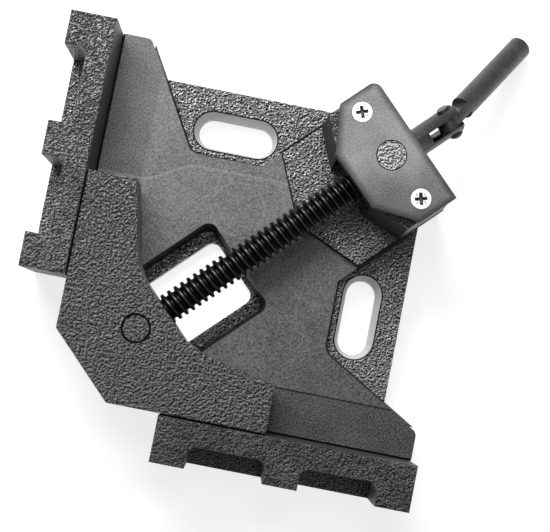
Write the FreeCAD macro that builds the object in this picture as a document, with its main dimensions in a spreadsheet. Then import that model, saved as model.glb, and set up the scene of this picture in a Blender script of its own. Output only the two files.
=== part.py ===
import FreeCAD, Part
import math
import os
import Sketcher

# Corner welding vise: two fences at a right angle, a square jaw on a lead screw
# along the diagonal, and a folding handle. Millimetres.
# X runs along one fence, Y along the other, Z is up. The origin is the inside
# corner where the two fence faces would meet, on the plane of the bench.
# "along" is the distance from the origin along the screw's diagonal, and
# "across" the distance to the side of it.

SIZES = {
    # fences
    "fence_start": 45.0, "fence_end": 145.0, "fence_thick": 18.0, "fence_top": 46.0,
    "pilaster_long": 13.4, "notch_deep": 8.8, "notch_round": 3.4,
    # levels of the casting
    "lug_top": 12.5, "seat_top": 16.0, "floor_top": 16.8, "pedestal_top": 20.0,
    "cheek_top": 52.5, "shelf_top": 6.0,
    # plan of the casting
    "seat_wide": 18.5, "seat_end": 145.6, "seat_tip": 11.4, "lug_edge": 131.2,
    "lug_inner": 103.4, "lug_corner": 35.9, "throat": 29.0,
    "body_half": 27.6, "body_rear": 169.3, "corner_round": 3.0, "lug_round": 6.0,
    "cast_edge": 0.8, "step_draft": 12.0, "skirt_end": 5.0,
    "pedestal_nose": 118.2, "pedestal_side": 129.0, "pedestal_draft": 8.0,
    "relief_wide": 0.8, "relief_deep": 0.6,
    "cheek_tip": 140.3, "cheek_side": 147.4, "cheek_taper": 2.0,
    # channel between the cheeks
    "channel_half": 10.3, "journal_floor": 13.0,
    # window under the screw
    "window_start": 44.0, "window_end": 90.4, "window_half": 21.0, "window_taper": 8.0,
    "hole_end": 87.6, "hole_half": 14.3, "window_round": 4.0,
    # mounting slots
    "slot_along": 52.0, "slot_out": 114.4, "slot_wide": 12.0, "slot_long": 30.4,
    "slot_straight": 3.5, "slot_taper": 11.0,
    # cover plate and its screws
    "plate_top": 58.5, "plate_rear": 169.5, "plate_half": 26.7, "plate_side": 153.2,
    "plate_front": 141.2, "plate_nose": 11.7, "plate_round": 3.5,
    "cover_screw_across": 19.6, "screw_head": 8.0, "screw_shank": 4.0, "screw_long": 16.0,
    # swivel nut
    "nut_along": 158.3, "nut_radius": 10.0, "journal_radius": 5.7, "journal_play": 0.1,
    # lead screw
    "axis_height": 31.0, "thread_radius": 6.0, "neck_radius": 4.0, "shank_radius": 5.7,
    "thread_start": 49.4, "thread_end": 168.0, "neck_start": 34.4, "bore_play": 0.1,
    "fork_root": 178.6, "pin_along": 188.9, "fork_end": 193.0, "fork_gap": 4.6,
    "fork_chamfer": 1.0,
    # pivot of the jaw
    "barrel_along": 42.85, "barrel_radius": 5.4, "barrel_play": 0.15, "barrel_foot": 23.0,
    "washer_radius": 6.6, "washer_thick": 1.0,
    "ring_radius": 6.2, "ring_thick": 1.2, "groove_radius": 3.2,
    # jaw
    "jaw_gap": 0.6, "jaw_bottom": 20.8, "jaw_top": 45.0, "jaw_end": 86.2,
    "jaw_tip": 19.4, "jaw_knee_out": 56.5, "jaw_knee_in": 25.7, "jaw_front": 55.9,
    "jaw_front_half": 14.3, "jaw_chamfer": 25.3, "knee_round": 16.0,
    "jaw_slot_half": 7.2, "jaw_slot_flare": 8.8, "jaw_slot_high": 7.2,
    "jaw_core_half": 7.4, "jaw_core_start": 30.5, "jaw_core_end": 39.5, "jaw_core_top": 39.0,
    # handle
    "handle_radius": 4.7, "handle_long": 55.2, "tongue_thick": 4.2, "tongue_back": 5.4,
    "shoulder": 9.6, "tip_chamfer": 0.8, "handle_fold": 31.0, "handle_roll": 22.5,
    # rivet of the handle
    "rivet_radius": 1.9, "rivet_play": 0.08, "rivet_head": 2.9, "rivet_head_thick": 2.2,
    "rivet_seat": 5.0, "rivet_tail": 2.3, "rivet_tail_thick": 1.2,
}

DIAGONAL = 45.0
ROOT_TWO = math.sqrt(2.0)

doc = FreeCAD.newDocument("welding_vise")
sheet = doc.addObject("Spreadsheet::Sheet", "Sizes")
for row, (alias, number) in enumerate(SIZES.items(), start=1):
    sheet.set("A%d" % row, alias)
    sheet.set("B%d" % row, str(number))
    sheet.setAlias("B%d" % row, alias)
doc.recompute()


class Size:
    """A length of the sheet, or one worked out from it: its value and its formula."""

    def __init__(self, value, formula):
        self.value = value
        self.formula = formula

    def __add__(self, other):
        other = as_size(other)
        return Size(self.value + other.value, "(%s + %s)" % (self.formula, other.formula))

    def __sub__(self, other):
        other = as_size(other)
        return Size(self.value - other.value, "(%s - %s)" % (self.formula, other.formula))

    def __mul__(self, other):
        other = as_size(other)
        return Size(self.value * other.value, "(%s * %s)" % (self.formula, other.formula))

    def __truediv__(self, other):
        other = as_size(other)
        return Size(self.value / other.value, "(%s / %s)" % (self.formula, other.formula))

    def __neg__(self):
        return self * -1.0

    __rmul__ = __mul__


def as_size(number):
    """The same length as a Size, whether it comes as one or as a plain number."""
    return number if isinstance(number, Size) else Size(float(number), "%.9g" % number)


def size(alias):
    """The named length of the sheet."""
    return Size(SIZES[alias], "Sizes." + alias)


def bind(thing, field, length):
    """Tie one property of an object to a length."""
    thing.setExpression(field, as_size(length).formula)


def new_body(name, along=None, height=None, turn=0.0, roll=0.0, fold=0.0):
    """A body that starts at a point of the diagonal, turned about Z, X and Y in that order."""
    body = doc.addObject("PartDesign::Body", name)
    body.Label = name
    rotation = FreeCAD.Rotation(FreeCAD.Vector(0, 0, 1), turn)
    rotation = rotation.multiply(FreeCAD.Rotation(FreeCAD.Vector(1, 0, 0), roll))
    rotation = rotation.multiply(FreeCAD.Rotation(FreeCAD.Vector(0, 1, 0), fold))
    body.Placement = FreeCAD.Placement(FreeCAD.Vector(0, 0, 0), rotation)
    if along is not None:
        bind(body, "Placement.Base.x", along * (1.0 / ROOT_TWO))
        bind(body, "Placement.Base.y", along * (1.0 / ROOT_TWO))
    if height is not None:
        bind(body, "Placement.Base.z", height)
    return body


def new_sketch(body, name, plane="XY_Plane", height=0.0, turn=0.0):
    """A sketch on one of the body's own planes, raised off it and turned in it."""
    support = [plane_ for plane_ in body.Origin.OriginFeatures if plane_.Role == plane][0]
    sketch = body.newObject("Sketcher::SketchObject", name)
    sketch.AttachmentSupport = [(support, "")]
    sketch.MapMode = "FlatFace"
    height = as_size(height)
    sketch.AttachmentOffset = FreeCAD.Placement(
        FreeCAD.Vector(0, 0, height.value), FreeCAD.Rotation(FreeCAD.Vector(0, 0, 1), turn))
    bind(sketch, "AttachmentOffset.Base.z", height)
    return sketch


def pin_point(sketch, geometry, vertex, x, y):
    """Hold one point of a sketch at the place its two lengths give."""
    for kind, axis, length in (("DistanceX", -2, as_size(x)), ("DistanceY", -1, as_size(y))):
        if length.formula == "0":
            sketch.addConstraint(Sketcher.Constraint("PointOnObject", geometry, vertex, axis))
            continue
        number = sketch.addConstraint(
            Sketcher.Constraint(kind, -1, 1, geometry, vertex, length.value))
        sketch.setExpression("Constraints[%d]" % number, length.formula)


def draw_outline(sketch, corners):
    """A closed outline of straight sides through the corners, in order."""
    first = sketch.GeometryCount
    spots = [FreeCAD.Vector(as_size(x).value, as_size(y).value, 0) for x, y in corners]
    count = len(spots)
    for k in range(count):
        sketch.addGeometry(Part.LineSegment(spots[k], spots[(k + 1) % count]), False)
    for k in range(count):
        after = first + (k + 1) % count
        sketch.addConstraint(Sketcher.Constraint("Coincident", first + k, 2, after, 1))
    for k, (x, y) in enumerate(corners):
        pin_point(sketch, first + k, 1, x, y)


def draw_box(sketch, low_x, low_y, high_x, high_y):
    """A rectangle between two opposite corners."""
    draw_outline(sketch, [(low_x, low_y), (high_x, low_y), (high_x, high_y), (low_x, high_y)])


def draw_circle(sketch, x, y, radius):
    """A full circle about a point."""
    x, y, radius = as_size(x), as_size(y), as_size(radius)
    number = sketch.addGeometry(
        Part.Circle(FreeCAD.Vector(x.value, y.value, 0), FreeCAD.Vector(0, 0, 1), radius.value))
    pin_point(sketch, number, 3, x, y)
    rim = sketch.addConstraint(Sketcher.Constraint("Radius", number, radius.value))
    sketch.setExpression("Constraints[%d]" % rim, radius.formula)


def draw_slot(sketch, x, y, radius, reach, upright):
    """A slot of two half circles and two straight sides, reach from centre to centre."""
    x, y, radius, half = as_size(x), as_size(y), as_size(radius), as_size(reach) * 0.5
    lean = FreeCAD.Vector(0, 1, 0) if upright else FreeCAD.Vector(1, 0, 0)
    side = FreeCAD.Vector(0, 0, 1).cross(lean)
    middle = FreeCAD.Vector(x.value, y.value, 0)
    first = sketch.GeometryCount
    ends = [middle + lean * half.value, middle - lean * half.value]
    start_angle = math.atan2(-side.y, -side.x)
    for end, start in zip(ends, (start_angle, start_angle + math.pi)):
        circle = Part.Circle(end, FreeCAD.Vector(0, 0, 1), radius.value)
        sketch.addGeometry(Part.ArcOfCircle(circle, start, start + math.pi), False)
    offset = side * radius.value
    sketch.addGeometry(Part.LineSegment(ends[0] + offset, ends[1] + offset), False)
    sketch.addGeometry(Part.LineSegment(ends[1] - offset, ends[0] - offset), False)
    for pair in ((0, 2, 2, 1), (2, 2, 1, 1), (1, 2, 3, 1), (3, 2, 0, 1)):
        sketch.addConstraint(Sketcher.Constraint(
            "Tangent", first + pair[0], pair[1], first + pair[2], pair[3]))
    shift = (0.0, half) if upright else (half, 0.0)
    pin_point(sketch, first, 3, x + shift[0], y + shift[1])
    pin_point(sketch, first + 1, 3, x - shift[0], y - shift[1])
    rim = sketch.addConstraint(Sketcher.Constraint("Radius", first, radius.value))
    sketch.setExpression("Constraints[%d]" % rim, radius.formula)


def pad(body, sketch, length, taper=None, middle=False, down=False):
    """Raise a sketch by a length, or grow it downwards."""
    feature = body.newObject("PartDesign::Pad", sketch.Name + "_pad")
    feature.Profile = sketch
    bind(feature, "Length", length)
    feature.Midplane = middle
    feature.Reversed = down
    if taper is not None:
        bind(feature, "TaperAngle", taper)
    sketch.Visibility = False
    return feature


def pocket(body, sketch, length=None, up=False, taper=None, middle=False):
    """Cut a sketch away, down from its plane by a length, or right through both ways."""
    doc.recompute()
    before = body.Tip.Shape.Volume
    feature = body.newObject("PartDesign::Pocket", sketch.Name + "_pocket")
    feature.Profile = sketch
    if length is None:
        feature.Type = "ThroughAll"
        feature.Midplane = True
    else:
        bind(feature, "Length", length)
        feature.Midplane = middle
    feature.Reversed = up
    if taper is not None:
        bind(feature, "TaperAngle", taper)
    sketch.Visibility = False
    doc.recompute()
    if feature.Shape.isNull() or not feature.Shape.Volume < before - 0.01:
        raise RuntimeError(feature.Name + " cuts nothing")
    return feature


def turned(body, sketch, axis="H_Axis"):
    """A solid of revolution about one axis of its sketch."""
    feature = body.newObject("PartDesign::Revolution", sketch.Name + "_turned")
    feature.Profile = sketch
    feature.ReferenceAxis = (sketch, [axis])
    feature.Angle = 360.0
    sketch.Visibility = False
    return feature


def edges_where(shape, test):
    """The names of the edges whose two ends and middle all pass a test."""
    names = []
    for number, edge in enumerate(shape.Edges, start=1):
        spots = [vertex.Point for vertex in edge.Vertexes]
        spots.append(edge.valueAt((edge.FirstParameter + edge.LastParameter) / 2.0))
        if all(test(spot) for spot in spots):
            names.append("Edge%d" % number)
    return names


def upright_edges(shape, places, reach=0.6):
    """The names of the upright edges that stand within reach of any of the places."""
    def near(spot):
        return any(math.hypot(spot.x - x, spot.y - y) < reach for x, y in places)
    names = []
    for name in edges_where(shape, near):
        edge = shape.getElement(name)
        if abs(edge.BoundBox.ZLength) > 0.7 * edge.Length:
            names.append(name)
    return names


def round_off(body, edges, radius, kind="Fillet"):
    """Round or bevel the named edges of the body's last feature."""
    base = body.Tip
    if not edges:
        raise RuntimeError("no edge to round on " + body.Name)
    feature = body.newObject("PartDesign::" + kind, "%s_%s%d" % (body.Name, kind, len(body.Group)))
    feature.Base = (base, edges)
    bind(feature, "Radius" if kind == "Fillet" else "Size", radius)
    doc.recompute()
    return feature


def on_diagonal(along, across):
    """The X and Y of a place given along and across the screw's diagonal."""
    return ((along + across) / ROOT_TWO, (along - across) / ROOT_TWO)


def both_sides(points):
    """An outline that is the same on both sides of its X axis, from its upper half."""
    return points + [(x, -y) for x, y in reversed(points) if as_size(y).value != 0.0]


def mirrored(points):
    """The same outline on the other side of the diagonal."""
    return [(y, x) for x, y in points]


def values(points):
    """The plain numbers of a list of places."""
    return [(as_size(x).value, as_size(y).value) for x, y in points]


def fence_outline():
    """A fence in plan: a straight wall with three pilasters and two notches behind it."""
    start, end = size("fence_start"), size("fence_end")
    outer = -size("fence_thick")
    inner = outer + size("notch_deep")
    step = size("pilaster_long")
    bay = (end - start - step * 3.0) * 0.5
    points = [(0.0, start), (outer, start)]
    for turn in range(2):
        low = start + step * (turn + 1.0) + bay * float(turn)
        points += [(outer, low), (inner, low), (inner, low + bay), (outer, low + bay)]
    return points + [(outer, end), (0.0, end)]


def make_base_casting():
    """The cast body: sole with lugs, milled floor, fences, pedestal and the two cheeks."""
    body = new_body("base_casting")
    start, outer = size("fence_start"), -size("fence_thick")
    throat, rear = size("throat"), size("body_rear") * (1.0 / ROOT_TWO)
    half = size("body_half") * (1.0 / ROOT_TWO)
    edge = size("lug_edge")
    side = size("body_half") * ROOT_TWO

    tip, tip_end = size("seat_tip"), size("seat_end")
    slant = (size("lug_corner") - tip) / (tip_end - size("lug_inner"))
    lug_foot = tip + slant * (tip_end - edge)

    sole = new_sketch(body, "sole_outline")
    left = [(0.0, throat), (0.0, start), (outer, start), (outer, tip_end),
            (tip, tip_end), (lug_foot, edge),
            (edge - side, edge), (rear - half, rear + half)]
    draw_outline(sole, left + list(reversed(mirrored(left))))
    pad(body, sole, size("lug_top"))

    floor = new_sketch(body, "floor_outline")
    inner = size("lug_inner")
    brink = [(0.0, throat), (0.0, tip_end), (tip, tip_end), (size("lug_corner"), inner),
             (inner - side, inner), (edge - side, edge)]
    draw_outline(floor, brink + list(reversed(mirrored(brink))))
    pad(body, floor, size("floor_top"))
    back = size("skirt_end")
    far = tip + slant * back
    skirts = new_sketch(body, "floor_skirts", height=size("floor_top"))
    skirt = [(far, tip_end - back), (size("lug_corner"), inner), (inner - side, inner),
             (size("seat_wide"), inner - back)]
    draw_outline(skirts, skirt)
    draw_outline(skirts, mirrored(skirt))
    pad(body, skirts, size("floor_top") - size("lug_top"), taper=size("step_draft"), down=True)

    fences = new_sketch(body, "fence_outlines")
    comb = fence_outline()
    draw_outline(fences, comb)
    draw_outline(fences, mirrored(comb))
    pad(body, fences, size("fence_top"))

    out = size("fence_end") + 15.0
    for name, wide, level, deep in (
            ("seats", size("seat_wide"), size("floor_top"), size("floor_top") - size("seat_top")),
            ("reliefs", size("relief_wide"), size("seat_top"), size("relief_deep"))):
        cuts = new_sketch(body, name, height=level)
        strip = [(0.0, throat), (0.0, out), (wide, out), (wide, throat)]
        draw_outline(cuts, strip)
        draw_outline(cuts, mirrored(strip))
        pocket(body, cuts, deep)

    pedestal = new_sketch(body, "pedestal_outline", turn=DIAGONAL)
    nose, shoulder = size("pedestal_nose"), size("pedestal_side")
    draw_outline(pedestal, both_sides([
        (size("body_rear"), size("body_half")), (shoulder, size("body_half")), (nose, 0.0)]))
    pad(body, pedestal, size("pedestal_top"))
    foot = new_sketch(body, "pedestal_foot", height=size("pedestal_top"), turn=DIAGONAL)
    draw_outline(foot, both_sides([
        (size("nut_along") - back, size("body_half")), (shoulder, size("body_half")),
        (nose, 0.0)]))
    pad(body, foot, size("pedestal_top") - size("lug_top"), taper=size("pedestal_draft"),
        down=True)

    cheeks = new_sketch(body, "cheek_outlines", height=size("lug_top"), turn=DIAGONAL)
    inside = size("channel_half")
    for sign in (1.0, -1.0):
        draw_outline(cheeks, [
            (size("body_rear"), sign * inside), (size("body_rear"), sign * size("body_half")),
            (size("cheek_side"), sign * size("body_half")),
            (size("cheek_tip"), sign * inside)])
    pad(body, cheeks, size("cheek_top") - size("lug_top"), taper=-size("cheek_taper"))

    journal = new_sketch(body, "journal_bore", height=size("pedestal_top"), turn=DIAGONAL)
    draw_circle(journal, size("nut_along"), 0.0, size("journal_radius") + size("journal_play"))
    pocket(body, journal, size("pedestal_top") - size("journal_floor"))

    window = new_sketch(body, "window_outline", height=size("floor_top"), turn=DIAGONAL)
    draw_box(window, size("window_start"), -size("window_half"),
             size("window_end"), size("window_half"))
    pocket(body, window, size("floor_top") - size("shelf_top"), taper=-size("window_taper"))
    opening = new_sketch(body, "opening_outline", height=size("shelf_top"), turn=DIAGONAL)
    draw_box(opening, size("window_start") + 3.0, -size("hole_half"),
             size("hole_end"), size("hole_half"))
    pocket(body, opening)

    slot_half = size("slot_wide") * 0.5
    slot_reach = size("slot_long") - size("slot_wide")
    for upright in (False, True):
        x, y = size("slot_along"), size("slot_out")
        if upright:
            x, y = y, x
        through = new_sketch(body, "slot_%d" % upright)
        draw_slot(through, x, y, slot_half, slot_reach, upright)
        pocket(body, through)
        flare = new_sketch(body, "slot_flare_%d" % upright, height=size("slot_straight"))
        draw_slot(flare, x, y, slot_half, slot_reach, upright)
        pocket(body, flare, size("lug_top") - size("slot_straight"), up=True,
               taper=size("slot_taper"))

    holes = new_sketch(body, "cover_screw_holes", height=size("cheek_top"), turn=DIAGONAL)
    for sign in (1.0, -1.0):
        draw_circle(holes, size("nut_along"), sign * size("cover_screw_across"),
                    size("screw_shank") * 0.5 + 0.1)
    pocket(body, holes, size("screw_long"))
    round_casting(body)
    return body


def round_casting(body):
    """The cast radii: notches, pilasters, window, lugs and the rims of the fences."""
    comb = fence_outline()
    hollows = [spot for k, spot in enumerate(comb[1:-2]) if k % 4 in (2, 3)]
    round_upright(body, hollows + mirrored(hollows), size("notch_round"))
    tips = [(size("seat_tip"), size("seat_end"))]
    round_upright(body, tips + mirrored(tips), size("corner_round"))
    bends = [(size("lug_corner"), size("lug_inner"))]
    round_upright(body, bends + mirrored(bends), size("lug_round"), reach=1.5)
    end, half = size("hole_end").value, size("hole_half").value
    round_upright(body, [on_diagonal(end, half), on_diagonal(end, -half)], size("window_round"))
    end, half = size("window_end").value, size("window_half").value
    round_upright(body, [on_diagonal(end, half), on_diagonal(end, -half)],
                  size("window_round"), reach=2.6)
    rim = size("fence_top").value
    round_off(body, edges_where(body.Tip.Shape, lambda spot: abs(spot.z - rim) < 0.01),
              size("cast_edge"))


def round_upright(body, places, radius, reach=0.6):
    """Round the upright corners of the body that stand at the places."""
    names = upright_edges(body.Tip.Shape, values(places), reach)
    round_off(body, names, radius)


def make_cover_plate():
    """The flat steel plate that caps the channel and carries the nut's upper journal."""
    body = new_body("cover_plate", turn=DIAGONAL)
    outline = new_sketch(body, "plate_outline", height=size("cheek_top"))
    draw_outline(outline, both_sides([
        (size("plate_rear"), size("plate_half")), (size("plate_side"), size("plate_half")),
        (size("plate_front"), size("plate_nose"))]))
    pad(body, outline, size("plate_top") - size("cheek_top"))
    top = size("plate_top")
    bore = new_sketch(body, "plate_bore", height=top)
    draw_circle(bore, size("nut_along"), 0.0, size("journal_radius") + size("journal_play"))
    pocket(body, bore)
    doc.recompute()
    places = new_sketch(body, "screw_places", height=top)
    for sign in (1.0, -1.0):
        draw_circle(places, size("nut_along"), sign * size("cover_screw_across"),
                    size("screw_shank") * 0.5)
    doc.recompute()
    holes = body.newObject("PartDesign::Hole", "countersunk_holes")
    holes.Profile = places
    holes.DepthType = "ThroughAll"
    holes.HoleCutType = "Countersink"
    bind(holes, "Diameter", size("screw_shank") + 0.2)
    bind(holes, "HoleCutDiameter", size("screw_head") + 0.2)
    holes.HoleCutCountersinkAngle = 90.0
    places.Visibility = False
    doc.recompute()
    rear = [(size("plate_rear"), size("plate_half"))]
    round_upright(body, rear, size("plate_round"))
    return body


def make_cover_screws():
    """The two countersunk screws that hold the cover plate to the cheeks."""
    head, shank = size("screw_head") * 0.5, size("screw_shank") * 0.5
    top = size("plate_top") - 0.1
    for name, sign in (("cover_screw_left", 1.0), ("cover_screw_right", -1.0)):
        body = new_body(name, turn=DIAGONAL)
        profile = new_sketch(body, name + "_profile", plane="XZ_Plane")
        middle = size("nut_along")
        foot = size("cheek_top") - size("screw_long") + 2.0
        draw_outline(profile, [
            (0.0, foot), (shank, foot), (shank, top - (head - shank)),
            (head, top), (0.0, top)])
        turned(body, profile, "V_Axis")
        across = sign * size("cover_screw_across")
        place_off_diagonal(body, middle, across)


def place_off_diagonal(body, along, across):
    """Put a body's own origin at a place along and across the diagonal."""
    bind(body, "Placement.Base.x", (along - across) * (1.0 / ROOT_TWO))
    bind(body, "Placement.Base.y", (along + across) * (1.0 / ROOT_TWO))


def make_swivel_nut():
    """The upright barrel nut: a journal at each end and the screw's bore across it."""
    body = new_body("swivel_nut", along=size("nut_along"), turn=DIAGONAL)
    journal, wide = size("journal_radius"), size("nut_radius")
    foot, top = size("pedestal_top") + 0.2, size("cheek_top") - 0.2
    profile = new_sketch(body, "nut_profile", plane="XZ_Plane")
    draw_outline(profile, [
        (0.0, size("journal_floor") + 0.3), (journal, size("journal_floor") + 0.3),
        (journal, foot), (wide, foot), (wide, top), (journal, top),
        (journal, size("plate_top")), (0.0, size("plate_top"))])
    turned(body, profile, "V_Axis")
    bore = new_sketch(body, "nut_bore", plane="YZ_Plane")
    draw_circle(bore, 0.0, size("axis_height"), size("thread_radius") + size("bore_play"))
    pocket(body, bore)
    return body


def make_lead_screw():
    """The screw: neck for the jaw's barrel, ring groove, threaded length and forked end."""
    body = new_body("lead_screw", height=size("axis_height"), turn=DIAGONAL,
                    roll=SIZES["handle_roll"])
    neck, thread, shank = size("neck_radius"), size("thread_radius"), size("shank_radius")
    groove_end = size("barrel_along") - size("barrel_radius") - 0.2
    groove_start = groove_end - size("ring_thick") - 0.1
    bevel = size("fork_chamfer")
    profile = new_sketch(body, "screw_profile", plane="XZ_Plane")
    draw_outline(profile, [
        (size("neck_start"), 0.0), (size("neck_start"), neck - 0.5),
        (size("neck_start") + 0.5, neck), (groove_start, neck),
        (groove_start, size("groove_radius")), (groove_end, size("groove_radius")),
        (groove_end, neck), (size("thread_start"), neck),
        (size("thread_start"), thread - 0.8), (size("thread_start") + 0.8, thread),
        (size("thread_end") - 0.6, thread), (size("thread_end"), shank),
        (size("fork_end") - bevel, shank), (size("fork_end"), shank - bevel),
        (size("fork_end"), 0.0)])
    turned(body, profile)
    fork = new_sketch(body, "fork_gap")
    gap = size("fork_gap") * 0.5
    draw_box(fork, size("fork_root"), -gap, size("fork_end") + 2.0, gap)
    pocket(body, fork)
    hole = new_sketch(body, "rivet_hole", plane="XZ_Plane")
    draw_circle(hole, size("pin_along"), 0.0, size("rivet_radius"))
    pocket(body, hole)
    for sign, name in ((1.0, "head"), (-1.0, "tail")):
        seat = new_sketch(body, "rivet_%s_seat" % name, plane="XZ_Plane",
                          height=size("rivet_seat") * sign)
        draw_circle(seat, size("pin_along"), 0.0, size("rivet_head") + 0.4)
        pocket(body, seat, size("shank_radius"), up=sign > 0.0)
    return body


def make_thrust_washer():
    """The washer between the screw's shoulder and the jaw's barrel."""
    body = new_body("thrust_washer", height=size("axis_height"), turn=DIAGONAL)
    start = size("barrel_along") + size("barrel_radius") + 0.05
    profile = new_sketch(body, "washer_profile", plane="XZ_Plane")
    draw_box(profile, start, size("neck_radius") + 0.1,
             start + size("washer_thick"), size("washer_radius"))
    turned(body, profile)
    return body


def make_retaining_ring():
    """The open ring that snaps into the groove behind the jaw's barrel."""
    body = new_body("retaining_ring", height=size("axis_height"), turn=DIAGONAL)
    end = size("barrel_along") - size("barrel_radius") - 0.25
    profile = new_sketch(body, "ring_profile", plane="XZ_Plane")
    draw_box(profile, end - size("ring_thick"), size("groove_radius") + 0.02,
             end, size("ring_radius"))
    turned(body, profile)
    mouth = new_sketch(body, "ring_mouth")
    reach = size("groove_radius") * 0.7
    draw_box(mouth, end - 5.0, -reach, end + 5.0, reach)
    pocket(body, mouth, size("ring_radius") * 2.0, up=False)
    return body


def jaw_outline():
    """The jaw in plan: a square nose and two arms that run along the fences."""
    gap = size("jaw_gap")
    front = size("jaw_front") * (1.0 / ROOT_TWO)
    half = size("jaw_front_half") * (1.0 / ROOT_TWO)
    arm = [(gap, size("jaw_chamfer") - gap), (gap, size("jaw_end")),
           (size("jaw_tip"), size("jaw_end")), (size("jaw_knee_in"), size("jaw_knee_out")),
           (front - half, front + half)]
    return arm + list(reversed(mirrored(arm)))


def make_swing_jaw():
    """The cast jaw, bored for its pivot and slotted for the end of the screw."""
    body = new_body("swing_jaw")
    outline = new_sketch(body, "jaw_outline", height=size("jaw_bottom"))
    draw_outline(outline, jaw_outline())
    pad(body, outline, size("jaw_top") - size("jaw_bottom"))
    pivot = size("barrel_along")
    bore = new_sketch(body, "pivot_bore", height=size("jaw_top"), turn=DIAGONAL)
    draw_circle(bore, pivot, 0.0, size("barrel_radius") + size("barrel_play"))
    pocket(body, bore, size("jaw_top") - size("barrel_foot") + 0.2)
    slot = new_sketch(body, "screw_slot", height=size("axis_height"), turn=DIAGONAL)
    near, wide = size("jaw_slot_half"), size("jaw_slot_flare")
    end = size("jaw_front") + 3.0
    draw_outline(slot, [(pivot, near), (pivot, -near), (end, -wide), (end, wide)])
    pocket(body, slot, size("jaw_slot_high") * 2.0, middle=True)
    core = new_sketch(body, "ring_core", height=size("jaw_bottom"), turn=DIAGONAL)
    draw_box(core, size("jaw_core_start"), -size("jaw_core_half"),
             size("jaw_core_end"), size("jaw_core_half"))
    pocket(body, core, size("jaw_core_top") - size("jaw_bottom"), up=True)
    knees = [(size("jaw_knee_in"), size("jaw_knee_out"))]
    round_upright(body, knees + mirrored(knees), size("knee_round"))
    rim = size("jaw_top").value
    bore_x, bore_y = on_diagonal(pivot.value, 0.0)

    def on_rim(spot):
        away = math.hypot(spot.x - bore_x, spot.y - bore_y)
        return abs(spot.z - rim) < 0.01 and away > 2.0 * size("barrel_radius").value

    round_off(body, edges_where(body.Tip.Shape, on_rim), size("cast_edge"))
    return body


def make_jaw_barrel():
    """The upright pivot of the jaw, cross-bored for the neck of the screw."""
    body = new_body("jaw_barrel", along=size("barrel_along"), turn=DIAGONAL)
    radius = size("barrel_radius")
    foot = size("barrel_foot")
    profile = new_sketch(body, "barrel_profile", plane="XZ_Plane")
    draw_outline(profile, [
        (0.0, foot), (radius - 0.5, foot), (radius, foot + 0.5),
        (radius, size("jaw_top")), (0.0, size("jaw_top"))])
    turned(body, profile, "V_Axis")
    bore = new_sketch(body, "neck_bore", plane="YZ_Plane")
    draw_circle(bore, 0.0, size("axis_height"), size("neck_radius") + size("bore_play"))
    pocket(body, bore)
    return body


def make_handle_bar():
    """The round handle with a flat, round-ended tongue that turns in the screw's fork."""
    body = new_body("handle_bar", along=size("pin_along"), height=size("axis_height"),
                    turn=DIAGONAL, roll=SIZES["handle_roll"], fold=SIZES["handle_fold"])
    radius, tip = size("handle_radius"), size("tip_chamfer")
    rod = new_sketch(body, "rod_profile", plane="XZ_Plane")
    draw_outline(rod, [
        (0.0, 0.0), (0.0, radius), (size("handle_long") - tip, radius),
        (size("handle_long"), radius - tip), (size("handle_long"), 0.0)])
    turned(body, rod)
    half = size("tongue_thick") * 0.5
    for sign in (1.0, -1.0):
        flank = new_sketch(body, "tongue_flank_%d" % (sign > 0))
        draw_box(flank, -2.0, sign * half, size("shoulder"), sign * (radius + 2.0))
        pocket(body, flank)
    end = new_sketch(body, "tongue_end", plane="XZ_Plane")
    draw_circle(end, radius - size("tongue_back"), 0.0, radius)
    pad(body, end, size("tongue_thick"), middle=True)
    hole = new_sketch(body, "tongue_hole", plane="XZ_Plane")
    draw_circle(hole, 0.0, 0.0, size("rivet_radius") + size("rivet_play"))
    pocket(body, hole)
    return body


def make_handle_rivet():
    """The rivet that joins the handle to the fork: round head one side, peened tail the other."""
    body = new_body("handle_rivet", along=size("pin_along"), height=size("axis_height"),
                    turn=DIAGONAL, roll=SIZES["handle_roll"])
    seat, radius = size("rivet_seat"), size("rivet_radius")
    head, tail = size("rivet_head"), size("rivet_tail")
    crown = size("rivet_head_thick")
    profile = new_sketch(body, "rivet_profile")
    draw_outline(profile, [
        (0.0, -seat - crown), (head * 0.6, -seat - crown), (head, -seat - crown * 0.55),
        (head, -seat), (radius, -seat), (radius, seat), (tail, seat),
        (tail, seat + size("rivet_tail_thick")), (0.0, seat + size("rivet_tail_thick"))])
    turned(body, profile, "V_Axis")
    return body


def check_all():
    """Stop if any object of the document has failed."""
    for thing in doc.Objects:
        if "Invalid" in thing.State or "Error" in thing.State:
            raise RuntimeError("%s is in state %s" % (thing.Name, thing.State))


def write_parts():
    """Write every piece to its own file, once each shape is whole."""
    pieces = [thing for thing in doc.Objects if thing.TypeId == "PartDesign::Body"]
    for piece in pieces:
        shape = piece.Shape
        if shape.isNull() or not shape.isValid():
            raise RuntimeError(piece.Label + " has no valid shape")
        if shape.Volume < 1.0 or len(shape.Solids) != 1:
            raise RuntimeError("%s has %d solids" % (piece.Label, len(shape.Solids)))
    os.makedirs("parts", exist_ok=True)
    for piece in pieces:
        piece.Shape.exportStep("parts/%s.step" % piece.Label)
        print("%-18s %10.1f mm3" % (piece.Label, piece.Shape.Volume))


for make in (make_base_casting, make_cover_plate, make_cover_screws, make_swivel_nut,
             make_lead_screw, make_thrust_washer, make_retaining_ring, make_swing_jaw,
             make_jaw_barrel, make_handle_bar, make_handle_rivet):
    make()
doc.recompute()
check_all()
write_parts()
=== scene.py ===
import math

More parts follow.
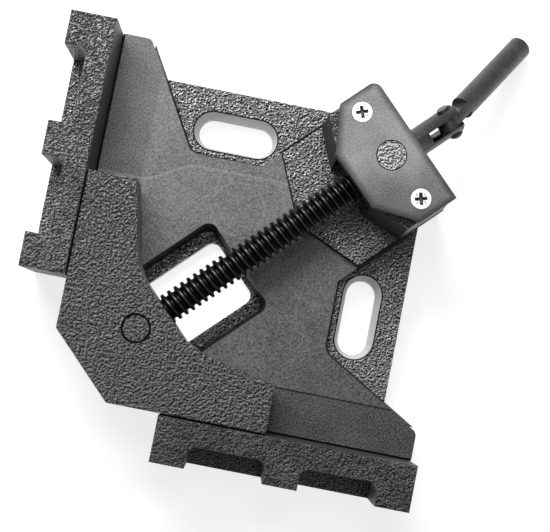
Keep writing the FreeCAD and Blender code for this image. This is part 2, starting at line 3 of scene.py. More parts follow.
import bmesh
import bpy
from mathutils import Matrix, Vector


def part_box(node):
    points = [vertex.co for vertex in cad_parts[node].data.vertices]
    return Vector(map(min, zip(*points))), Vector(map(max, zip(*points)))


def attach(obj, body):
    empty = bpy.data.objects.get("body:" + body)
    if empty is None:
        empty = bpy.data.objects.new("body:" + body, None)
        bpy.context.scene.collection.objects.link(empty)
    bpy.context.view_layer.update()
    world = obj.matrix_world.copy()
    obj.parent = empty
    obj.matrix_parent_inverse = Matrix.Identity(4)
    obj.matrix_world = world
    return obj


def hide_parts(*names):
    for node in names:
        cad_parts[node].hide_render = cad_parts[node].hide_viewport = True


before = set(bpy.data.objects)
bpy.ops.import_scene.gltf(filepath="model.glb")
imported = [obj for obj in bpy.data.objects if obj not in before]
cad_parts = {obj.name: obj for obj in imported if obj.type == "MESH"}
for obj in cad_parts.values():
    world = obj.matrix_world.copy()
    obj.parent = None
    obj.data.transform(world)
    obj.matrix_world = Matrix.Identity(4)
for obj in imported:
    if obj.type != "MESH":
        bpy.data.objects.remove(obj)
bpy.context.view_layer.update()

# Corner welding vise: the finishes of its cast body, jaw and plate, the thread of
# its lead screw and the cross recesses of its cover screws. Lengths are in metres.

MM = 0.001

ALONG = Vector((1.0, 1.0, 0.0)).normalized()
ACROSS = Vector((1.0, -1.0, 0.0)).normalized()
UP = Vector((0.0, 0.0, 1.0))

# Lead screw, a trapezoidal thread of 12 mm with one start.
THREAD_LEAD = 3.0 * MM
THREAD_DEPTH = 1.5 * MM
THREAD_CREST = 1.05 * MM
THREAD_FLANK = 0.4 * MM
THREAD_SOFTEN = 0.14 * MM
THREAD_STEPS = 40
THREAD_SHARP = 44.0
THREAD_WELD = 0.002 * MM
WELD = 0.001 * MM
RADIUS_SLACK = 0.01 * MM
END_SLACK = 1.0 * MM

# Cover screws with a cross recess of size 2.
RECESS_REACH = 2.55 * MM
RECESS_WIDE = 1.45 * MM
RECESS_DEEP = 2.0 * MM
RECESS_TAPER = 0.3
HEAD_JOINT = 0.12 * MM
RECESS_TURNS = {"cover_screw_left": 19.0, "cover_screw_right": 15.0}
TICK_NEAR = 1.5 * MM
TICK_FAR = 2.7 * MM
TICK_WIDE = 0.32 * MM
TICK_DEEP = 0.25 * MM
HEAD_LIP = 0.12 * MM
SHANK_CHAMFER = 0.3 * MM
TURN_STEPS = 64
HEAD_SHARP = 30.0
CUTTER_RISE = 0.2 * MM

# Levels and places of the casting that tell its machined faces from its painted ones. Fronts
# and backs are measured along the diagonal, halves to the side of it.
FLOOR_TOP = 16.8 * MM
SEAT_TOP = 16.0 * MM
SEAT_WIDE = 18.5 * MM
LUG_TOP = 12.5 * MM
SHELF_TOP = 6.0 * MM
PEDESTAL_TOP = 20.0 * MM
PEDESTAL_HALF = 27.6 * MM
SLOT_ALONG = 52.0 * MM
SLOT_OUT = 114.4 * MM
SLOT_RIM_RADIUS = 7.75 * MM
SLOT_REACH = 9.2 * MM
WINDOW_FRONT = 40.0 * MM
WINDOW_BACK = 92.0 * MM
WINDOW_HALF = 23.0 * MM
SLOT_DRAFT = 0.2 * MM
SLOT_LINE = 0.5 * MM
PEDESTAL_LINE = 0.6 * MM
FENCE_CLEAR = 0.08 * MM
FENCE_FOOT = 1.0 * MM
GROOVE_WIDE = 0.85 * MM
GROOVE_FOOT = 15.3 * MM
CHEEK_FRONT = 138.0 * MM
CHEEK_BACK = 150.0 * MM

# Outline of the cover plate, height of the screw's axis, and the pivots on the diagonal.
PLATE_FRONT = 141.2 * MM
PLATE_REAR = 169.5 * MM
PLATE_HALF = 26.7 * MM
PLATE_NOSE = 11.7 * MM
PLATE_BEVEL = (0.78, 0.62)
SCREW_HEIGHT = 31.0 * MM
JAW_PIVOT = 42.85 * MM
NUT_PIVOT = 158.3 * MM

# How sharply one finish gives way to the next, and how squarely a face has to be turned.
EDGE_SOFT = 0.02 * MM
JOINT_SOFT = 0.05 * MM
LINE_SOFT = 0.1 * MM
LEVEL_SLACK = 0.1 * MM
FACE_SLACK = 0.05 * MM
SQUARE_ON = (0.99, 0.005)
NEARLY_LEVEL = (0.8, 0.1)

# Noise has most of its values in these spans.
MIDDLE = (0.3, 0.7)
WIDE = (0.2, 0.8)

# Hammered paint: its finer wrinkles, the run of the wrinkles away from the light, how the
# tone falls on their far sides, which is painted shade, and in their hollows, and its shine.
FINE_SHARE = 0.3
FINE_RATIO = 0.45
WRINKLE_SPAN = (0.33, 0.62)
PAINT_RUN = (-0.22 * MM, 0.3 * MM, 0.0)
PAINT_SIDES = (-0.4, 0.5, 0.12, 1.0)
PAINT_HOLLOWS = (0.0, 0.6, 0.2, 1.0)
PAINT_METALLIC = 0.65
PAINT_ROUGH = (0.48, 0.37)
JOINT_TONE = 0.002
# Near black of the painted shade lines on the cast body.
SHADE_LINE_TONE = 0.003
PLAIN_SHINE = 0.5
SHADED_SHINE = 0.05

# Cast body: size, depth and clouds of its paint, how its tone, wrinkles and shine change on
# its low faces, the painted shade near the fence along X, its relief up the fences, the painted
# shade on its sheer walls, and the tones of its other finishes.
CAST_WRINKLE = 0.95 * MM
CAST_DEPTH = 0.7 * MM
CAST_PATCH = 9.0 * MM
CAST_LIGHTEST = (0.18, 0.26)
LOW_LIGHTER = 0.3
LOW_TIGHTER = 1.15
LOW_METALLIC = 0.5
LOW_SPECKLE = (0.22, 0.68, 0.005, 1.0)
FENCE_PAINTED_SHADE = (-5.0 * MM, 40.0 * MM, 0.68, 1.0)
FENCE_RELIEF = (20.0 * MM, 45.0 * MM, 1.0, 0.7)
SHADED_WALL_TONE = 0.25
CHEEK_SHINE = 0.15
MILLED_GRAIN = 0.55 * MM
MILLED_PATCH = 14.0 * MM
MILLED_METALLIC = 0.25
MILLED_TONES = (0.012, 0.15)
MILLED_CLOUD = (-0.01, 0.01)
MILLED_ROUGH = (0.42, 0.55)
MILLED_RELIEF = 0.06
SEAT_DARKER = -0.022
RAW_TONES = (0.42, 0.62)
BLACK_TONES = (0.014, 0.036)

# Milled floor: edges of the cutter's passes, how one of them bends, and the swirls, each
# the centre and the radius of an arc.
UPPER_PASS = (98.6 * MM, 99.4 * MM)
LOWER_PASS = (76.2 * MM, 77.0 * MM)
RIGHT_PASS = (79.5 * MM, 80.3 * MM)
PASS_BEND = (18.0 * MM, 40.0 * MM)
PASS_DROP = 9.0 * MM
PASS_TONE = 0.006
RIGHT_TONE = 0.004
LIP_PLACE = 98.7 * MM
LIP_WIDE = 0.9 * MM
LIP_TONE = 0.04
SWIRLS = (
    (58.6 * MM, 85.0 * MM, 10.6 * MM),
    (66.0 * MM, 92.0 * MM, 17.0 * MM),
    (70.0 * MM, 40.0 * MM, 24.0 * MM))
SWIRL_WIDE = 0.8 * MM
SWIRL_TONE = 0.035
SWIRL_PATCH = 11.0 * MM
SWIRL_WEAR = (0.42, 0.6)
CUTTER_CENTRE = (66.0 * MM, 60.0 * MM)
CUTTER_FEED = 1.7 * MM
CUTTER_TONE = 0.006

# Grain that the plate, the oxide and the bright metals share.
FINE_GRAIN = 0.5 * MM

# Cover plate: its clouds, relief and shine, its painted shade towards its rim and lower right, and
# a painted highlight towards its upper left.
PLATE_PATCH = 16.0 * MM
PLATE_DEPTH = 0.03 * MM
PLATE_METALLIC = 0.5
PLATE_TONES = (0.06, 0.17)
PLATE_CLOUD = (-0.03, 0.03)
PLATE_ROUGH = (0.36, 0.44)
PLATE_RIM = 3.2 * MM
PLATE_RIM_SHADE = 0.25
PLATE_LIGHT_AND_SHADE = (90.0 * MM, 108.0 * MM, 0.65, 1.25)

# Black oxide and bright metal: worn patches, how far grain and wear change the tone, and
# the depth of the grain.
OXIDE_PATCH = 6.0 * MM
OXIDE_GRAIN = (0.25, 0.75, 0.75, 1.25)
OXIDE_WEAR = (0.35, 0.7, 0.85, 1.2)
OXIDE_DEPTH = 0.02 * MM
BRIGHT_DEPTH = 0.01 * MM
BRIGHT_METALLIC = 0.6

# Radii between which the screw's hollows take painted shade, and the painted highlight that makes
# it lighter past the plate.
SCREW_HOLLOW = (4.7 * MM, 5.9 * MM)
HOLLOW_SHADE = 0.12
SHANK_FADE = 3.0 * MM
SHANK_HIGHLIGHT = 3.2

# Painted pieces: the name of the paint, the size of its wrinkles, its darkest and lightest
# tone, its depth, and the joint's place on the diagonal with its inner and outer radius.
PAINTED = {
    "swing_jaw": ("jaw_paint", 1.0 * MM, 0.003, 0.28, 0.8 * MM,
                  (JAW_PIVOT, 5.3 * MM, 5.8 * MM)),
    "jaw_barrel": ("barrel_paint", 1.0 * MM, 0.004, 0.22, 0.5 * MM,
                   (JAW_PIVOT, 4.95 * MM, 6.0 * MM)),
    "swivel_nut": ("nut_paint", 0.9 * MM, 0.004, 0.55, 0.3 * MM,
                   (NUT_PIVOT, 5.4 * MM, 6.0 * MM))}

# Camera of the photograph: place, turn in degrees, focal length and sensor in millimetres.
CAMERA_PLACE = (0.0714, 0.0275, 0.6162)
CAMERA_TURN = (3.44, -1.29, 11.16)
CAMERA_LENS = 98.67
CAMERA_SENSOR = 36.0

# Lamps: name, place, target, width and depth, power in watts.
LAMPS = (
    ("key", (-0.09, 0.37, 0.43), (0.05, 0.07, 0.0), (0.34, 0.22), 4.2),
    ("top", (0.1, 0.27, 0.75), (0.08, 0.1, 0.0), (0.24, 0.16), 1.0),
    ("fill", (0.45, -0.25, 0.6), (0.06, 0.06, 0.0), (0.5, 0.5), 0.3))

# Floor: centre, half its width, its tones for light and for the eye, and its glow.
FLOOR_CENTRE = (0.06, 0.06, -0.0002)
FLOOR_HALF = 3.0
FLOOR_MATT = 0.8
FLOOR_DIM = 0.34
FLOOR_GLOW = 0.8

# Studio: height in the sky and tone there, and how strongly it lights matt surfaces.
SKY_HORIZON = (0.02, 1.0)
SKY_MIDDLE = (0.2, 0.45)
SKY_OVERHEAD = (0.9, 0.15)
SKY_DIFFUSE = 0.32


# Node graphs

class Shade:
    """One material and short calls that build its node graph."""

    def __init__(self, name):
        self.material = bpy.data.materials.new(name)
        self.material.use_nodes = True
        self.tree = self.material.node_tree
        self.surface = self.tree.nodes["Principled BSDF"]
        self.place = self.add("TexCoord").outputs["Object"]

    def add(self, kind, **settings):
        node = self.tree.nodes.new("ShaderNode" + kind)
        for key, value in settings.items():
            setattr(node, key, value)
        return node

    def feed(self, socket, value):
        if isinstance(value, bpy.types.NodeSocket):
            self.tree.links.new(value, socket)
        else:
            socket.default_value = value

    def set(self, name, value):
        self.feed(self.surface.inputs[name], value)

    def math(self, operation, first, second=0.0):
        node = self.add("Math", operation=operation)
        self.feed(node.inputs[0], first)
        self.feed(node.inputs[1], second)
        return node.outputs[0]

    def split(self, vector):
        node = self.add("SeparateXYZ")
        self.feed(node.inputs[0], vector)
        return node.outputs[0], node.outputs[1], node.outputs[2]

    def less(self, first, second):
        return self.math("SUBTRACT", first, second)

    def diagonal(self):
        """The place along the screw's diagonal, and how far to the side of it."""
        x, y, _ = self.split(self.place)
        half = math.sqrt(0.5)
        along = self.math("MULTIPLY", self.math("ADD", x, y), half)
        across = self.math("MULTIPLY", self.less(x, y), half)
        return along, self.math("ABSOLUTE", across)

    def fade(self, value, low, high, start=0.0, end=1.0):
        """Goes smoothly from start to end as a value goes from low to high."""
        node = self.add("MapRange", interpolation_type="SMOOTHSTEP")
        for socket, number in zip(node.inputs, (value, low, high, start, end)):
            self.feed(socket, number)
        return node.outputs[0]

    def above(self, value, limit, soft=EDGE_SOFT):
        """1 where a value is over a limit."""
        return self.fade(value, limit - soft, limit + soft)

    def below(self, value, limit, soft=EDGE_SOFT):
        """1 where a value is under a limit."""
        return self.fade(value, limit - soft, limit + soft, 1.0, 0.0)

    def mix(self, factor, first, second):
        """Between two colours."""
        node = self.add("Mix", data_type="RGBA")
        self.feed(node.inputs["Factor"], factor)
        self.feed(node.inputs[6], first)
        self.feed(node.inputs[7], second)
        return node.outputs[2]

    def blend(self, factor, first, second):
        """Between two numbers."""
        node = self.add("Mix", data_type="FLOAT")
        self.feed(node.inputs["Factor"], factor)
        self.feed(node.inputs[2], first)
        self.feed(node.inputs[3], second)
        return node.outputs[0]

    def all_of(self, *values):
        """The product, for masks 1 where all of them are 1."""
        result = values[0]
        for value in values[1:]:
            result = self.math("MULTIPLY", result, value)
        return result

    def any_of(self, *values):
        """The largest, for masks 1 where one of them is 1."""
        result = values[0]
        for value in values[1:]:
            result = self.math("MAXIMUM", result, value)
        return result

    def sum_of(self, *values):
        result = values[0]
        for value in values[1:]:
            result = self.math("ADD", result, value)
        return result

    def reach_from(self, x, y, x0, y0):
        """How far a place in plan lies from a point."""
        a, b = self.less(x, x0), self.less(y, y0)
        return self.math("SQRT", self.sum_of(self.all_of(a, a), self.all_of(b, b)))

    def noise(self, size, detail=2.0, rough=0.5, warp=0.0, place=None):
        """Cloudy noise whose patches are about a size across."""
        node = self.add("TexNoise")
        self.feed(node.inputs["Vector"], place or self.place)
        node.inputs["Scale"].default_value = 1.0 / size
        node.inputs["Detail"].default_value = detail
        node.inputs["Roughness"].default_value = rough
        node.inputs["Distortion"].default_value = warp
        return node.outputs["Fac"]

    def bump(self, height, deep):
        """Relief of the surface from a height between 0 and 1."""
        node = self.add("Bump")
        node.inputs["Strength"].default_value = 1.0
        node.inputs["Distance"].default_value = deep
        self.feed(node.inputs["Height"], height)
        self.set("Normal", node.outputs[0])


def grey(level):
    return (level, level, level, 1.0)


# Finishes

def hammered(shade, size, tighter=1.0):
    """A height for hammered paint's wrinkles, and a tone 0 to 1: painted shade on their far sides,
    darker in hollows.
    """
    scaled = shade.add("VectorMath", operation="SCALE")
    shade.feed(scaled.inputs[0], shade.place)
    shade.feed(scaled.inputs["Scale"], tighter)
    shift = shade.add("VectorMath", operation="ADD")
    shade.feed(shift.inputs[0], scaled.outputs[0])
    shade.feed(shift.inputs[1], PAINT_RUN)
    heights = []
    for place in (scaled.outputs[0], shift.outputs[0]):
        coarse = shade.noise(size, detail=2.0, rough=0.5, warp=0.5, place=place)
        fine = shade.noise(size * FINE_RATIO, detail=2.0, rough=0.6, place=place)
        heights.append(shade.fade(shade.blend(FINE_SHARE, coarse, fine), *WRINKLE_SPAN))
    height = heights[0]
    # Painted shade: the tone falls on the side of each wrinkle that faces away from the light.
    side = shade.fade(shade.less(*heights), *PAINT_SIDES)
    return height, shade.all_of(side, shade.fade(height, *PAINT_HOLLOWS))


def ring_mask(shade, along, near, far):
    """1 on a ring about the upright axis that stands on the diagonal."""
    x, y, _ = shade.split(shade.place)
    away = shade.reach_from(x, y, along * math.sqrt(0.5), along * math.sqrt(0.5))
    return shade.all_of(shade.above(away, near, JOINT_SOFT), shade.below(away, far, JOINT_SOFT))


def hammered_paint(name, size, dark, light, deep, groove):
    """Black paint that has dried in wrinkles, with a dark joint round a pivot."""
    shade = Shade(name)
    height, painted_relief_shade = hammered(shade, size)
    joint = ring_mask(shade, *groove)
    # The tone carries painted shade on the far sides of the wrinkles.
    tone = shade.mix(painted_relief_shade, grey(dark), grey(light))
    shade.set("Base Color", shade.mix(joint, tone, grey(JOINT_TONE)))
    shade.set("Metallic", shade.blend(joint, PAINT_METALLIC, 0.0))
    shade.set("Specular IOR Level", shade.blend(joint, PLAIN_SHINE, SHADED_SHINE))
    shade.set("Roughness", shade.fade(height, 0.0, 1.0, *PAINT_ROUGH))
    shade.bump(height, deep)
    return shade.material


def cutter_marks(shade, x, y):
    """Tone of the milled floor: passes of the cutter, their edges, and swirls."""
    edge_y = shade.math("ADD", y, shade.fade(x, *PASS_BEND, PASS_DROP, 0.0))
    tone = shade.sum_of(shade.fade(edge_y, *UPPER_PASS, PASS_TONE, -PASS_TONE),
                        shade.fade(y, *LOWER_PASS, -PASS_TONE, PASS_TONE),
                        shade.fade(x, *RIGHT_PASS, RIGHT_TONE, -PASS_TONE))
    lip = shade.math("ABSOLUTE", shade.less(edge_y, LIP_PLACE))
    tone = shade.sum_of(tone, shade.fade(lip, 0.0, LIP_WIDE, LIP_TONE, 0.0))
    worn = shade.fade(shade.noise(SWIRL_PATCH, detail=1.0), *SWIRL_WEAR)
    for centre_x, centre_y, radius in SWIRLS:
        away = shade.reach_from(x, y, centre_x, centre_y)
        off = shade.math("ABSOLUTE", shade.less(away, radius))
        swirl = shade.fade(off, 0.0, SWIRL_WIDE, SWIRL_TONE, 0.0)
        tone = shade.sum_of(tone, shade.all_of(swirl, worn))
    away = shade.reach_from(x, y, *CUTTER_CENTRE)
    circles = shade.math("SINE", shade.math("MULTIPLY", away, 2.0 * math.pi / CUTTER_FEED))
    return shade.sum_of(tone, shade.math("MULTIPLY", circles, CUTTER_TONE))


def slot_field(shade, run, out):
    """How far a place lies from the middle line of a bench slot."""
    off = shade.math("ABSOLUTE", shade.less(run, SLOT_ALONG))
    past = shade.math("MAXIMUM", shade.less(off, SLOT_REACH), 0.0)
    return shade.reach_from(past, out, 0.0, SLOT_OUT)


def casting_zones(shade, x, y, z, off_fence):
    """Masks of the cast body's finishes and of its painted shade, from the place and the turn of
    its surface.
    """
    facing = shade.split(shade.add("NewGeometry").outputs["True Normal"])
    along, across = shade.diagonal()
    level = shade.above(facing[2], *SQUARE_ON)
    sheer = shade.below(facing[2], *SQUARE_ON)
    by_window = shade.all_of(shade.above(along, WINDOW_FRONT), shade.below(along, WINDOW_BACK),
                             shade.below(across, WINDOW_HALF))
    faces_in = shade.any_of(shade.above(facing[0], *SQUARE_ON), shade.above(facing[1], *SQUARE_ON))
    slots = shade.math("MINIMUM", slot_field(shade, x, y), slot_field(shade, y, x))

    floor = shade.all_of(level, shade.above(z, SEAT_TOP - LEVEL_SLACK),
                         shade.below(z, FLOOR_TOP + LEVEL_SLACK))
    fence = shade.all_of(faces_in, shade.below(off_fence, FENCE_CLEAR),
                         shade.above(z, SEAT_TOP - FACE_SLACK))
    cheek = shade.all_of(sheer, shade.above(z, PEDESTAL_TOP + FACE_SLACK),
                         shade.above(along, CHEEK_FRONT), shade.below(along, CHEEK_BACK))
    in_slot = shade.all_of(sheer, shade.below(slots, SLOT_RIM_RADIUS + SLOT_DRAFT),
                           shade.below(z, LUG_TOP + 0.5 * EDGE_SOFT))
    in_window = shade.all_of(sheer, by_window, shade.below(z, SHELF_TOP - FACE_SLACK))
    # Painted shade lines: round the slot rims, in the groove at the fences' foot and along the
    # pedestal's edge.
    slot_rim = shade.all_of(level, shade.below(slots, SLOT_RIM_RADIUS + SLOT_LINE, LINE_SOFT))
    relief = shade.all_of(shade.below(off_fence, GROOVE_WIDE), shade.above(z, GROOVE_FOOT),
                          shade.below(z, SEAT_TOP - FACE_SLACK))
    pedestal_edge = shade.all_of(level,
                                 shade.above(across, PEDESTAL_HALF - PEDESTAL_LINE, LINE_SOFT),
                                 shade.above(z, PEDESTAL_TOP - LEVEL_SLACK),
                                 shade.below(z, PEDESTAL_TOP + LEVEL_SLACK))
    # Painted shade on the sheer steps and the window's walls: their paint is darkened.
    steps = shade.all_of(shade.above(x, FENCE_FOOT), shade.above(y, FENCE_FOOT), sheer,
                         shade.below(z, PEDESTAL_TOP + FACE_SLACK),
                         shade.above(z, LUG_TOP - EDGE_SOFT))
    window_walls = shade.all_of(sheer, by_window, shade.above(z, SHELF_TOP - EDGE_SOFT))
    low = shade.all_of(shade.above(facing[2], *NEARLY_LEVEL),
                       shade.below(z, PEDESTAL_TOP + LEVEL_SLACK))
    return {"floor": floor, "fence": fence, "cheek": cheek, "low": low,
            "bare": shade.any_of(in_slot, in_window), "walls": shade.any_of(steps, window_walls),
            "dark": shade.any_of(slot_rim, relief, pedestal_edge)}


def casting_finish():
    """The cast body: hammered paint, machined floor, seats and fence faces, raw openings, and
    painted shade on its lines, sheer walls and near the fence along X.
    """
    shade = Shade("casting")
    x, y, z = shade.split(shade.place)
    off_fence = shade.math("MINIMUM", shade.math("ABSOLUTE", x), shade.math("ABSOLUTE", y))
    zones = casting_zones(shade, x, y, z, off_fence)
    low, walls, dark = zones["low"], zones["walls"], zones["dark"]
    floor, cheek, bare = zones["floor"], zones["cheek"], zones["bare"]

    # The wrinkles' tone carries painted shade on their far sides.
    wrinkles, painted_relief_shade = hammered(shade, CAST_WRINKLE, shade.blend(low, 1.0, LOW_TIGHTER))
    patches = shade.noise(CAST_PATCH, detail=2.0)
    lightest = shade.sum_of(shade.fade(patches, *MIDDLE, *CAST_LIGHTEST),
                            shade.math("MULTIPLY", low, LOW_LIGHTER))
    speckle = shade.blend(low, painted_relief_shade, shade.fade(painted_relief_shade, *LOW_SPECKLE))
    # Painted shade: darker near the fence along X, and on the sheer walls.
    near_fence_shade = shade.fade(y, *FENCE_PAINTED_SHADE)
    paint = shade.all_of(speckle, lightest, near_fence_shade, shade.blend(walls, 1.0, SHADED_WALL_TONE))

    grain = shade.noise(MILLED_GRAIN, detail=3.0, rough=0.7)
    cloud = shade.noise(MILLED_PATCH, detail=3.0)
    seats = shade.fade(off_fence, SEAT_WIDE - LEVEL_SLACK, SEAT_WIDE, SEAT_DARKER, 0.0)
    milled = shade.sum_of(seats, shade.fade(grain, *MIDDLE, *MILLED_TONES),
                          shade.fade(cloud, *MIDDLE, *MILLED_CLOUD), cutter_marks(shade, x, y))
    raw = shade.fade(grain, *MIDDLE, *RAW_TONES)
    smooth_black = shade.fade(grain, *MIDDLE, *BLACK_TONES)

    colour = shade.mix(floor, paint, milled)
    colour = shade.mix(shade.any_of(zones["fence"], cheek), colour, smooth_black)
    # The painted shade lines in near black.
    colour = shade.mix(dark, colour, grey(SHADE_LINE_TONE))
    colour = shade.mix(bare, colour, raw)
    shade.set("Base Color", colour)

    unpainted = shade.any_of(*[zones[name] for name in (
        "floor", "fence", "bare", "cheek", "dark", "walls")])
    painted_metallic = shade.blend(low, PAINT_METALLIC, LOW_METALLIC)
    milled_metallic = shade.math("MULTIPLY", floor, MILLED_METALLIC)
    shade.set("Metallic", shade.blend(unpainted, painted_metallic, milled_metallic))
    shade.set("Roughness", shade.blend(unpainted, shade.fade(wrinkles, 0.0, 1.0, *PAINT_ROUGH),
                                       shade.fade(grain, *WIDE, *MILLED_ROUGH)))
    shine = shade.blend(shade.any_of(dark, walls), PLAIN_SHINE, SHADED_SHINE)
    shade.set("Specular IOR Level", shade.blend(cheek, shine, CHEEK_SHINE))
    height = shade.all_of(wrinkles, shade.fade(z, *FENCE_RELIEF))
    milled_height = shade.math("MULTIPLY", grain, MILLED_RELIEF)
    shade.bump(shade.blend(unpainted, height, milled_height), CAST_DEPTH)
    return shade.material


def plate_finish():
    """Satin milled steel, finely grained, with painted shade towards its edges and its lower right
    and a painted highlight towards its upper left.
    """
    shade = Shade("milled_plate")
    along, across = shade.diagonal()
    _, y, _ = shade.split(shade.place)
    behind_front = shade.less(along, PLATE_FRONT)
    rise, run = PLATE_BEVEL
    bevel = shade.less(shade.math("MULTIPLY", behind_front, rise),
                       shade.math("MULTIPLY", shade.less(across, PLATE_NOSE), run))
    rim = shade.less(PLATE_REAR, along)
    for edge in (shade.less(PLATE_HALF, across), bevel, behind_front):
        rim = shade.math("MINIMUM", rim, edge)
    grain = shade.noise(FINE_GRAIN, detail=3.0, rough=0.7)
    cloud = shade.noise(PLATE_PATCH, detail=3.0)
    tone = shade.sum_of(shade.fade(grain, *MIDDLE, *PLATE_TONES),
                        shade.fade(cloud, *MIDDLE, *PLATE_CLOUD))
    # Painted shade towards the rim, and painted light and shade from the lower right to the upper
    # left.
    rim_shade = shade.fade(rim, 0.0, PLATE_RIM, PLATE_RIM_SHADE, 1.0)
    shade.set("Base Color", shade.all_of(tone, rim_shade, shade.fade(y, *PLATE_LIGHT_AND_SHADE)))
    shade.set("Metallic", PLATE_METALLIC)
    shade.set("Roughness", shade.fade(grain, *WIDE, *PLATE_ROUGH))
    shade.bump(grain, PLATE_DEPTH)
    return shade.material


def oxide_finish(name, level, rough, metallic, hollow=None):
    """Black oxide with faint grain; on the screw painted shade in the thread's hollows and a
    painted highlight past the plate.
    """
    shade = Shade(name)
    grain = shade.noise(FINE_GRAIN, detail=3.0, rough=0.6)
    wear = shade.noise(OXIDE_PATCH, detail=4.0)
    tone = shade.all_of(shade.fade(grain, *OXIDE_GRAIN), shade.fade(wear, *OXIDE_WEAR), level)
    if hollow:
        # Painted shade in the thread's hollows and a painted highlight on the shank past the
        # plate.
        along, across = shade.diagonal()
        height = shade.less(shade.split(shade.place)[2], SCREW_HEIGHT)
        away = shade.reach_from(across, height, 0.0, 0.0)
        past = shade.fade(along, PLATE_REAR, PLATE_REAR + SHANK_FADE, 1.0, SHANK_HIGHLIGHT)
        tone = shade.all_of(tone, shade.fade(away, *hollow, HOLLOW_SHADE, 1.0), past)
    shade.set("Base Color", tone)
    shade.set("Metallic", metallic)
    shade.set("Roughness", shade.fade(grain, *WIDE, rough - 0.05, rough + 0.08))
    shade.bump(grain, OXIDE_DEPTH)
    return shade.material


def bright_finish(name, dark, light, rough):
    """Bare or plated metal with faint grain."""
    shade = Shade(name)
    grain = shade.noise(FINE_GRAIN, detail=2.0)
    shade.set("Base Color", shade.fade(grain, *MIDDLE, dark, light))
    shade.set("Metallic", BRIGHT_METALLIC)
    shade.set("Roughness", shade.fade(grain, *WIDE, rough, rough + 0.12))
    shade.bump(grain, BRIGHT_DEPTH)
    return shade.material


def dress(name, material):
    """Give a node of the frame its finish."""
    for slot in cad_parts[name].material_slots:
        slot.material = material


# Pieces

def new_piece(name, mesh_maker, material, sharp=35.0):
    """An object whose mesh a maker fills in, smooth but for its sharp edges."""
    form = bmesh.new()
    mesh_maker(form)
    bmesh.ops.recalc_face_normals(form, faces=form.faces)
    mesh = bpy.data.meshes.new(name)
    form.to_mesh(mesh)
    form.free()
    mesh.materials.append(material)
    for face in mesh.polygons:
        face.use_smooth = True
    mesh.set_sharp_from_angle(angle=math.radians(sharp))
    piece = bpy.data.objects.new(name, mesh)
    bpy.context.scene.collection.objects.link(piece)
    return piece


def screw_axis():
    """The point of the lead screw's axis above the origin."""
    low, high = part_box("lead_screw")
    return Vector((0.0, 0.0, (low.z + high.z) / 2.0))


def shaft_place(point, axis):
    """How far along the screw's axis a point lies, and how far from it."""
    away = point - axis
    along = away.dot(ALONG)
    return along, (away - ALONG * along).length


def thread_profile(radius):
    """Places and radii of the turns of one lead: root, flank, crest and flank."""
    root = THREAD_LEAD - THREAD_CREST - 2.0 * THREAD_FLANK
    foot, soft = radius - THREAD_DEPTH, THREAD_SOFTEN
    slope = soft * THREAD_FLANK / THREAD_DEPTH
    crest = root + THREAD_FLANK
    crest_end = crest + THREAD_CREST
    return [
        (soft, foot), (root - soft, foot), (root + slope, foot + soft),
        (crest - slope, radius - soft), (crest + soft, radius),
        (crest_end - soft, radius), (crest_end + slope, radius - soft),
        (THREAD_LEAD - slope, foot + soft)]


def add_thread(form, axis, start, end, radius):
    """A right-hand helical thread on the screw's axis, run out at both ends."""
    profile = thread_profile(radius)
    count = len(profile)
    foot = radius - THREAD_DEPTH
    rows = count * (int((end - start) / THREAD_LEAD) + 3)
    grid = []
    for row in range(rows):
        offset, height = profile[row % count]
        base = start + THREAD_LEAD * (row // count - 1) + offset
        ring = []
        for step in range(THREAD_STEPS):
            angle = 2.0 * math.pi * step / THREAD_STEPS
            outward = UP * math.cos(angle) + ACROSS * math.sin(angle)
            place = base + THREAD_LEAD * step / THREAD_STEPS
            place = min(max(place, start), end)
            taper = foot + min(place - start, end - place)
            reach = min(height, taper)
            ring.append(form.verts.new(axis + ALONG * place + outward * reach))
        grid.append(ring)
    for row in range(rows - count - 1):
        for step in range(THREAD_STEPS):
            if step + 1 < THREAD_STEPS:
                far, ahead = grid[row][step + 1], grid[row + 1][step + 1]
            else:
                far, ahead = grid[row + count][0], grid[row + 1 + count][0]
            form.faces.new((grid[row][step], far, ahead, grid[row + 1][step]))
    bmesh.ops.remove_doubles(form, verts=form.verts, dist=THREAD_WELD)
    bmesh.ops.dissolve_degenerate(form, edges=form.edges, dist=WELD)


def make_lead_screw(material):
    """The lead screw: its turned ends from the frame, joined by a real thread."""
    axis = screw_axis()
    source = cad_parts["lead_screw"].data
    places = [shaft_place(vertex.co, axis) for vertex in source.vertices]
    radius = max(away for _, away in places)
    full = [along for along, away in places if away > radius - RADIUS_SLACK]
    start, end = min(full), max(full)

    def spans_thread(face):
        """Tells the plain cylinder that the thread takes the place of."""
        reached = [shaft_place(vertex.co, axis)[0] for vertex in face.verts]
        middle = shaft_place(face.calc_center_median(), axis)[0]
        return (start < middle < end
                and min(reached) < start + END_SLACK and max(reached) > end - END_SLACK)

    def fill(form):
        form.from_mesh(source)
        bmesh.ops.remove_doubles(form, verts=form.verts, dist=WELD)
        barrel = [face for face in form.faces if spans_thread(face)]
        bmesh.ops.delete(form, geom=barrel, context="FACES")
        rims = [edge for edge in form.edges if edge.is_boundary]
        bmesh.ops.holes_fill(form, edges=rims)
        turned = bmesh.new()
        add_thread(turned, axis, start, end, radius)
        thread = bpy.data.meshes.new("thread")
        turned.to_mesh(thread)
        turned.free()
        form.from_mesh(thread)
        bpy.data.meshes.remove(thread)

    piece = new_piece("threaded_screw", fill, material, sharp=THREAD_SHARP)
    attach(piece, "screw")
    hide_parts("lead_screw")


